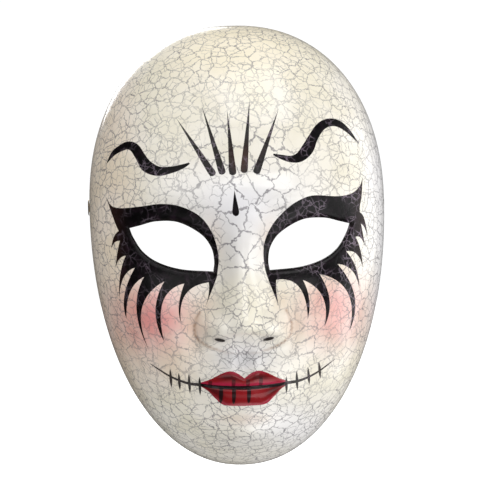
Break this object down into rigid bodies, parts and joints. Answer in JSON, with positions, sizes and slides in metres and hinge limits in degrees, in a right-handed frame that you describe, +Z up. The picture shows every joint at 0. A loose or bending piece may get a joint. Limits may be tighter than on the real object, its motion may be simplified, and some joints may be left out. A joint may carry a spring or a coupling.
{
  "type": "venetian masquerade mask",
  "caption": "Full-face masquerade mask: crackle-glazed moulded shell with painted features, open eye holes, foam pads and an elastic head strap riveted at the temples.",
  "frame": {"origin": "centre of the open back, in the plane of the flat back rim, at half the mask's height", "axes": "+Z up the face, +Y out of the open back towards the wearer's head, so the face looks along -Y; +X is to the right of someone looking at the face"},
  "size_m": [0.1526, 0.092, 0.225],
  "materials": {
    "glazed_shell": "glossy clear coat over cream crackle glaze, with painted black and red features",
    "foam_pad": "fabric-faced foam, matt",
    "rivet_metal": "polished, lightly tarnished",
    "woven_elastic": "ribbed woven elastic",
    "thread": "twisted polyester thread"
  },
  "bodies": {
    "mask": {"mask_shell": "glazed_shell", "forehead_pad": "foam_pad", "cheek_pad_left": "foam_pad", "cheek_pad_right": "foam_pad", "rivet_left": "rivet_metal", "rivet_right": "rivet_metal", "washer_left": "rivet_metal", "washer_right": "rivet_metal"},
    "strap": {"elastic_strap": "woven_elastic", "strap_stitch_left": "thread", "strap_stitch_right": "thread"}
  },
  "joints": [
    {"name": "strap_swing", "type": "hinge", "parent": "mask", "child": "strap", "pos_m": [0, -0.009, 0.021], "axis": [1, 0, 0], "range_deg": [-8, 125]}
  ]
}
